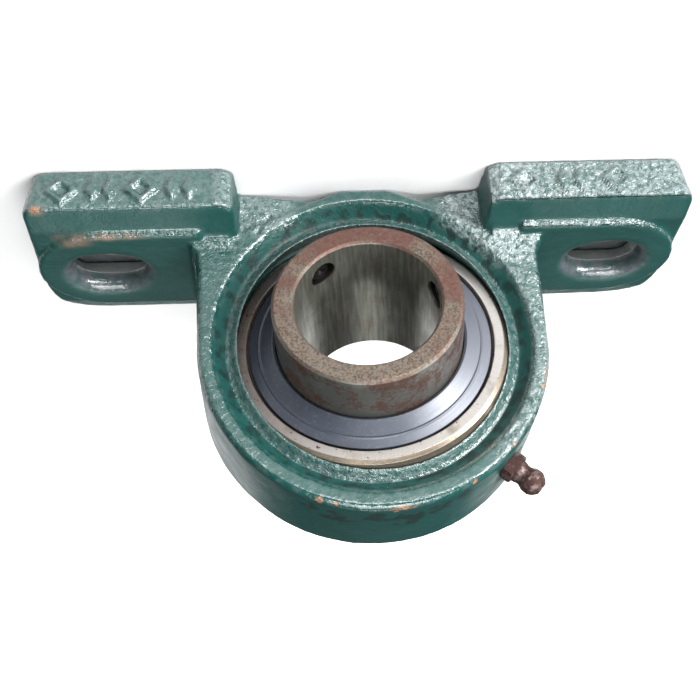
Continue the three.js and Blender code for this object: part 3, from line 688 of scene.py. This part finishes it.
def even_housing():
    """The CAD housing as one even mesh with round edges and true circles."""
    bm = bmesh.new()
    bm.from_mesh(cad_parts["housing"].data)
    bm.transform(Matrix.Scale(1 / MM, 4))
    block = finish_mesh(bm, "block")
    remesh = ("REMESH", {"mode": "VOXEL", "voxel_size": VOXEL * MM, "use_smooth_shade": True})
    block = modified(block, [remesh])
    points = without_flats(vertex_array(block, "co") / MM)
    block.vertices.foreach_set("co", (points * MM).ravel())
    return modified(block, [("SMOOTH", {"factor": 0.5, "iterations": 6})])


def roughness_lift(points, bore_radius, crinkle):
    """How far the rough casting stands out at each point. The seat and the underside stay still."""
    still = (bore_radius < SEAT["bead_radius"] + 0.2) & (np.abs(points[:, 1]) < SEAT["half_width"] + 0.3)
    still |= points[:, 2] < STILL_HEIGHT
    (high, long, seed), (low, short, other_seed) = WAVES
    waves = high * field(points, long, seed) + low * field(points, short, other_seed)
    stretched = points * np.array(RIPPLE["stretch"])
    ripples = RIPPLE["height"] * crinkle * field(stretched, RIPPLE["size"], RIPPLE["seed"])
    return np.where(still, 0, waves + ripples)


def smudges_on_top():
    """The places and radii of the dark smudges on the round top."""
    centre, radius = BODY["arc_centre"], BODY["radius"]
    return [
        ((radius * math.cos(a * DEGREE), y, centre + radius * math.sin(a * DEGREE)), size)
        for a, y, size in GRIME
    ]


def housing_casting():
    block = even_housing()
    points, normals = vertex_array(block, "co") / MM, vertex_array(block, "normal")
    crinkle, painted_glints = crinkle_share(points, normals)
    bore_radius = np.hypot(points[:, 0], points[:, 2] - SHAFT_HEIGHT)
    points = points + normals * roughness_lift(points, bore_radius, crinkle)[:, None]
    points[:, 1] -= mark_relief(points) - fold_depth(points)
    block.vertices.foreach_set("co", (points * MM).ravel())
    in_mouth = 1 - smoothstep(bore_radius, MOUTH_RADIUS - 0.5, MOUTH_RADIUS + 0.1)
    cove = smoothstep(bore_radius, COVE["start"], COVE["full"]) * in_mouth
    for name, values in (
        ("crinkle", crinkle),
        ("painted_glints", painted_glints),
        ("gloss_and_sheen", smoothstep(-normals[:, 1], 0.15, 0.65) * (1 - 0.9 * cove)),
        ("hollow_painted_light", cored_inside(points, normals)),
        ("chip", spots(points, CHIPS)),
        ("stain", films(points, STAINS)),
        ("pale_slot_wall", slot_walls(points)),
        # The cove gets painted shade through the same attribute as the dirt smudges.
        ("grime_and_cove_shade", np.maximum(spots(points, smudges_on_top()), 0.62 * cove)),
    ):
        block.attributes.new(name, "FLOAT", "POINT").data.foreach_set("value", values.astype(np.float32))
    block.shade_smooth()
    return block


# ---- Insert bearing, about its own Y axis -------------------------------------------------------


def outer_ring():
    half, sphere, shoulder = OUTER["half_width"], OUTER["sphere"], OUTER["shoulder"]
    edge = half - OUTER["chamfer"]
    tilt = math.asin(edge / sphere) / DEGREE
    lip = math.acos((shoulder - BALLS["pitch"]) / GROOVE) / DEGREE
    step = [(RECESS["radius"], half), (RECESS["radius"], RECESS["depth"]), (shoulder, RECESS["depth"])]
    outline = [(OUTER["face"], -half)]
    outline += arc(0, 0, sphere, -tilt, tilt, 24)
    outline += [(OUTER["face"], half)]
    outline += step + arc(BALLS["pitch"], 0, GROOVE, lip, -lip, 24) + flipped(step)[::-1]
    tools = [
        hole_tool(OIL_HOLE["radius"], shoulder - 1, sphere, outward(a, OIL_HOLE["y"]), 0.25)
        for a in OIL_HOLE["angles"]
    ]
    return pierced(turned("outer_ring", outline), tools)


def inner_ring():
    front, back, radius, face = (INNER[key] for key in ("front", "back", "radius", "face_radius"))
    chamfer, edge = INNER["chamfer"], radius - face
    lip = math.acos((BALLS["pitch"] - radius) / GROOVE) / DEGREE
    outline = [(BORE, front + chamfer), (BORE + chamfer, front), (face, front), (radius, front + edge)]
    outline += arc(BALLS["pitch"], 0, GROOVE, 180 + lip, 180 - lip, 24)
    outline += [(radius, back - edge), (face, back), (BORE + chamfer, back), (BORE, back - chamfer)]
    tools = [
        hole_tool(SCREW["radius"] + GAP, BORE - 2, radius - 0.3, outward(a, SCREW["y"]), 0.4)
        for a in SCREW["angles"]
    ]
    return pierced(turned("inner_ring", outline, edge=0.3), tools)


def flinger(side):
    """A dished washer with a raised hub, a fine ridge near its edge and a turned-in rim."""
    inner, outer, rim, hub, ridge, thick = FLINGER.values()
    outline = [(inner, hub - 1.5), (inner + 0.8, hub - thick), (ridge - 3.4, hub - 0.9 - thick)]
    outline += [(ridge - 0.8, hub - 2.6 - thick), (outer - thick, rim + 0.4), (outer - thick, rim)]
    outline += [(outer, rim), (outer, rim + 0.9), (ridge + 0.4, rim + 2), (ridge, rim + 2.45)]
    outline += [(ridge - 0.5, hub - 2.6), (ridge - 3, hub - 0.9), (inner + 0.8, hub), (inner, hub - 0.6)]
    outline = rounded(outline, 0.25, 4) if side > 0 else rounded(flipped(outline), 0.25, 4)
    bm = lathe(outline, 256)
    return finish_mesh(bm, "flinger", sharp=60)


def seal(side):
    inner, near, far = SEAL.values()
    outer = RECESS["radius"] - GAP
    lips = [(outer, near), (outer, far)]
    for i in range(1, 8):  # shallow moulded rings
        lips.append((outer + (inner - outer) * i / 8, far - (0.22 if i % 2 else 0)))
    outline = [(inner, near + 0.2), (inner + 0.6, near), *lips, (inner, far)]
    return turned("seal", outline if side > 0 else flipped(outline), edge=0.12)


def ball():
    """A sphere from a subdivided cube, so that its faces are even."""
    bm = bmesh.new()
    bmesh.ops.create_cube(bm, size=2)
    bmesh.ops.subdivide_edges(bm, edges=bm.edges, cuts=11, use_grid_fill=True)
    for vertex in bm.verts:
        vertex.co = vertex.co.normalized() * BALLS["radius"]
    return finish_mesh(bm, "ball")


def ball_angle(index):
    return 90 + index * 360 / BALLS["count"]


def cage_half(side):
    """One wavy half of the pressed ribbon cage: flat between the balls and bowed round each."""
    pocket, thick = CAGE["pocket"], CAGE["thickness"]
    bow = pocket + thick
    per_ball = 48
    count = per_ball * BALLS["count"]
    pitch_length = 2 * math.pi * BALLS["pitch"] / BALLS["count"]
    bm = bmesh.new()
    sections = []
    for i in range(count):
        along = ((i % per_ball) / per_ball - 0.5) * pitch_length
        angle = ball_angle(0) * DEGREE + 2 * math.pi * (i / per_ball - 0.5) / BALLS["count"]
        near = max(GAP / 2, math.sqrt(max(0, pocket**2 - along**2)))
        far = max(GAP / 2 + thick, math.sqrt(max(0, bow**2 - along**2)))
        corners = [(CAGE["inner"], near), (CAGE["outer"], near), (CAGE["outer"], far), (CAGE["inner"], far)]
        sections.append(
            [bm.verts.new((r * math.cos(angle), side * y, r * math.sin(angle))) for r, y in corners]
        )
    for i, section in enumerate(sections):
        other = sections[(i + 1) % count]
        for a in range(4):
            b = (a + 1) % 4
            bm.faces.new((section[a], section[b], other[b], other[a]))
    return finish_mesh(bm, "cage_half")


def rivet():
    under = GAP / 2 + CAGE["thickness"] + 0.05
    head = [(RIVET["head"], under)]
    dome = arc(0, under, 1, 0, 90, 8)
    head += [(RIVET["head"] * r, under + RIVET["height"] * (y - under)) for r, y in dome]
    half = [(RIVET["shank"], under), *head[:-1], (0, under + RIVET["height"])]
    bm = lathe([*flipped(half)[::-1], *half], 32)
    return finish_mesh(bm, "rivet")


def hexagon_prism(across, start, end):
    bm = bmesh.new()
    corner = across / 2 / math.cos(30 * DEGREE)
    rings = []
    for y in (start, end):
        rings.append(
            [
                bm.verts.new((corner * math.sin(60 * DEGREE * i), y, corner * math.cos(60 * DEGREE * i)))
                for i in range(6)
            ]
        )
    bm.faces.new(rings[0])
    bm.faces.new(rings[1])
    for i in range(6):
        j = (i + 1) % 6
        bm.faces.new((rings[0][i], rings[0][j], rings[1][j], rings[1][i]))
    return bm


def set_screw():
    """A cup-point set screw with a thread and a hexagon socket in its outer end."""
    radius, tip, head = SCREW["radius"], SCREW["tip"], SCREW["head"]
    depth, pitch = 0.35, 1.0
    outline = [(0, tip + 0.9), (1.5, tip), (radius - 1.2, tip), (radius - depth, tip + 1.2)]
    start = tip + 1.2
    while start + pitch < head - 0.8:
        outline += [(radius, start + 0.5 * pitch), (radius - depth, start + pitch)]
        start += pitch
    outline += [(radius - 0.1, head - 0.6), (radius - 0.6, head), (0, head)]
    bm = lathe(rounded(outline, 0.06, 2), 64)
    socket = finish_mesh(hexagon_prism(2 * SCREW["socket"], head - 3, head + 1), "tool")
    return pierced(finish_mesh(bm, "set_screw"), [socket])


# ---- Grease nipple, outwards along +Y from the bore's centre --------------------------------------


def nipple_body():
    start, end = NIPPLE["hex"]
    shank, shank_end = NIPPLE["shank"], NIPPLE["shank_end"]
    outline = [(0, shank_end), (shank - 0.4, shank_end), (shank, shank_end + 0.6), (shank, start)]
    outline += [(3.3, start), (3.3, end), (3.3, end + 0.3), (3.2, end + 1.0), (3.0, end + 1.5)]
    outline += [(3.0, end + 2.3), (3.3, end + 3.0), (3.75, end + 3.8), (3.75, end + 5.8)]
    outline += [(2.9, end + 7.3), (1.8, NIPPLE_TOP), (0, NIPPLE_TOP)]
    stem = finish_mesh(lathe(rounded(outline, 0.5, 5), 96), "nipple_body")
    prism = finish_mesh(hexagon_prism(NIPPLE["flats"], start, end), "hexagon")
    crown = [(0, start - 1), (3.0, start - 1), (4.5, start + 0.55)]
    crown += [(4.5, end - 0.55), (3.1, end + 1), (0, end + 1)]
    crown_mesh = finish_mesh(lathe(crown, 96), "crown")
    prism = combined(prism, crown_mesh, "INTERSECT")
    prism = modified(prism, [("BEVEL", {"width": 0.16 * MM, "segments": 3, "limit_method": "ANGLE"})])
    body = combined(stem, prism, "UNION")
    chamber = [(0, shank_end - 1), (0.9, shank_end - 1), (0.9, SPRING["start"] - GAP)]
    chamber += [(VALVE["chamber"], SPRING["start"] - GAP), (VALVE["chamber"], VALVE["seat"])]
    chamber += [(VALVE["orifice"], VALVE["seat"] + 0.75), (VALVE["orifice"], NIPPLE_TOP + 1)]
    chamber += [(0, NIPPLE_TOP + 1)]
    return pierced(body, [finish_mesh(lathe(chamber, 48), "tool")])


def combined(mesh, other, operation):
    partner = bpy.data.objects.new("partner", other)
    bpy.context.scene.collection.objects.link(partner)
    settings = {"operation": operation, "solver": "EXACT", "object": partner}
    result = modified(mesh, [("BOOLEAN", settings)])
    bpy.data.objects.remove(partner)
    result.shade_smooth()
    result.set_sharp_from_angle(angle=40 * DEGREE)
    return result


def nipple_spring():
    """A small helical spring of round wire, closed at both ends."""
    top = VALVE["seat"] - VALVE["radius"] - VALVE["travel"] - 2 * SPRING["wire"]
    start = SPRING["start"] + SPRING["wire"]
    steps, sides = 24 * SPRING["turns"], 10
    bm = bmesh.new()
    rings = []
    for i in range(steps + 1):
        t = i / steps
        angle = 2 * math.pi * SPRING["turns"] * t
        centre_y = start + (top - start) * t
        ring = []
        for k in range(sides):
            around = 2 * math.pi * k / sides
            r = SPRING["radius"] + SPRING["wire"] * math.cos(around)
            y = centre_y + SPRING["wire"] * math.sin(around)
            ring.append(bm.verts.new((r * math.cos(angle), y, r * math.sin(angle))))
        rings.append(ring)
    for low, high in zip(rings, rings[1:]):
        for k in range(sides):
            j = (k + 1) % sides
            bm.faces.new((low[k], low[j], high[j], high[k]))
    bm.faces.new(rings[0])
    bm.faces.new(rings[-1])
    return finish_mesh(bm, "nipple_spring")


def small_ball(radius):
    bm = bmesh.new()
    bmesh.ops.create_cube(bm, size=2)
    bmesh.ops.subdivide_edges(bm, edges=bm.edges, cuts=7, use_grid_fill=True)
    for vertex in bm.verts:
        vertex.co = vertex.co.normalized() * radius
    return finish_mesh(bm, "small_ball")


# ---- Assembly -----------------------------------------------------------------------------------


def assemble():
    azimuth = SWIVEL["azimuth"] * DEGREE
    swivel = Quaternion((math.cos(azimuth), 0, math.sin(azimuth)), SWIVEL["angle"] * DEGREE)
    insert = Matrix.Translation((0, 0, SHAFT_HEIGHT)) @ swivel.to_matrix().to_4x4()
    nipple = Matrix.Translation((0, 0, SHAFT_HEIGHT)) @ outward(NIPPLE["angle"], NIPPLE["y"])

    show("housing_casting", housing_casting(), enamel(), "housing_body", ["housing"])

    ring_steel, race_steel = outer_steel(), inner_steel()
    rubber, paint = seal_rubber(), flinger_paint()
    show("outer_race", outer_ring(), ring_steel, "outer_ring_body",
         ["outer_ring"], insert)
    show("inner_race", inner_ring(), race_steel, "inner_ring_body",
         ["inner_ring"], insert)
    cage_steel = bright_steel("cage_steel", (0.5, 0.49, 0.47), 0.3, 0.5)
    for end, side in (("front", -1), ("back", 1)):
        show(f"seal_disc_{end}", seal(side), rubber, "outer_ring_body",
             [f"seal_{end}"], insert)
        show(f"flinger_washer_{end}", flinger(side), paint, "inner_ring_body",
             [f"flinger_{end}"], insert)
        show(f"cage_ribbon_{end}", cage_half(side), cage_steel, "cage_body",
             [f"cage_{end}"], insert)

    ball_steel = bright_steel("ball_steel", (0.78, 0.78, 0.78), 0.06, 0.8)
    for i in range(BALLS["count"]):
        a = ball_angle(i) * DEGREE
        place = insert @ Matrix.Translation((BALLS["pitch"] * math.cos(a), 0, BALLS["pitch"] * math.sin(a)))
        show(f"rolling_ball_{i + 1}", ball(), ball_steel, f"ball_{i + 1}_body",
             [f"ball_{i + 1}"], place)
        a = ball_angle(i + 0.5) * DEGREE
        place = insert @ Matrix.Translation((BALLS["pitch"] * math.cos(a), 0, BALLS["pitch"] * math.sin(a)))
        show(f"rivet_{i + 1}", rivet(), cage_steel, "cage_body",
             [f"cage_rivet_{i + 1}"], place)

    screw_finish = black_screw()
    for i, degrees in enumerate(SCREW["angles"], 1):
        show(f"grub_screw_{i}", set_screw(), screw_finish, f"set_screw_{i}_body",
             [f"set_screw_{i}"], insert @ outward(degrees, SCREW["y"]))

    show("grease_nipple", nipple_body(), rusty_nipple(), "housing_body",
         ["nipple_body"], nipple)
    spring_steel = bright_steel("spring_steel", (0.55, 0.54, 0.52), 0.25, 0.4)
    show("valve_spring", nipple_spring(), spring_steel, "housing_body",
         ["nipple_spring"], nipple)
    check_place = nipple @ Matrix.Translation((0, VALVE["seat"] - 0.35, 0))
    show("check_ball", small_ball(VALVE["radius"]), ball_steel, "valve_body",
         ["nipple_check_ball"], check_place)


# ---- Studio ---------------------------------------------------------------------------------------


def floor():
    f = Finish("pale_floor", metallic=0.0)
    f.set("Base Color", f.mix(f.noise(400, 2.0), (0.83, 0.83, 0.83), (0.86, 0.86, 0.86)))
    f.set("Roughness", f.spread(f.noise(30, 3.0), 0.3, 0.7, 0.85, 0.95))
    bm = bmesh.new()
    bmesh.ops.create_grid(bm, x_segments=8, y_segments=8, size=4000)
    bm.transform(Matrix.Translation((0, 0, -0.05)))
    mesh = finish_mesh(bm, "floor")
    mesh.materials.append(f.material)
    plane = bpy.data.objects.new("floor", mesh)
    bpy.context.scene.collection.objects.link(plane)


def soft_light(name, place, target, size, watts, spread=180):
    data = bpy.data.lights.new(name, "AREA")
    data.shape = "RECTANGLE"
    data.size, data.size_y = (side * MM for side in size)
    data.energy = watts
    data.spread = spread * DEGREE
    lamp = bpy.data.objects.new(name, data)
    bpy.context.scene.collection.objects.link(lamp)
    lamp.location = Vector(place) * MM
    lamp.rotation_euler = (Vector(target) - Vector(place)).to_track_quat("-Z", "Y").to_euler()


def studio():
    """Soft light from the front and the -X side, with a dim room behind the block."""
    world = bpy.data.worlds.new("studio")
    world.use_nodes = True
    background = world.node_tree.nodes["Background"]
    background.inputs["Color"].default_value = (0.93, 0.96, 1.0, 1)
    background.inputs["Strength"].default_value = 0.12
    bpy.context.scene.world = world
    bpy.context.scene.view_settings.view_transform = "Standard"
    middle = (0, 0, 45)
    soft_light("window", (-750, -760, 230), middle, (520, 380), 20)
    soft_light("front", (-150, -1000, 130), middle, (700, 180), 5)
    soft_light("above", (0, -420, 900), (0, -160, 0), (700, 500), 5.5)
    soft_light("edge", (-160, -520, 780), middle, (800, 70), 3)
    soft_light("behind", (0, 800, 1100), (0, 800, 0), (900, 500), 22, 70)


CAMERA = {"place": (26.49, -336.33, 208.17), "aim": (5.8, 0, 45.0), "roll": 176.72, "lens": 66.61}


def camera():
    """The block is seen from the front and above, with its base at the top of the picture."""
    data = bpy.data.cameras.new("camera")
    data.lens = CAMERA["lens"]
    data.sensor_width = 36
    data.clip_start = 10 * MM
    eye = bpy.data.objects.new("camera", data)
    bpy.context.scene.collection.objects.link(eye)
    place, aim = Vector(CAMERA["place"]), Vector(CAMERA["aim"])
    level = (aim - place).to_track_quat("-Z", "Y").to_matrix().to_4x4()
    roll = Matrix.Rotation(CAMERA["roll"] * DEGREE, 4, "Z")
    eye.matrix_world = Matrix.Translation(place * MM) @ level @ roll
    bpy.context.scene.camera = eye


assemble()
floor()
studio()
camera()
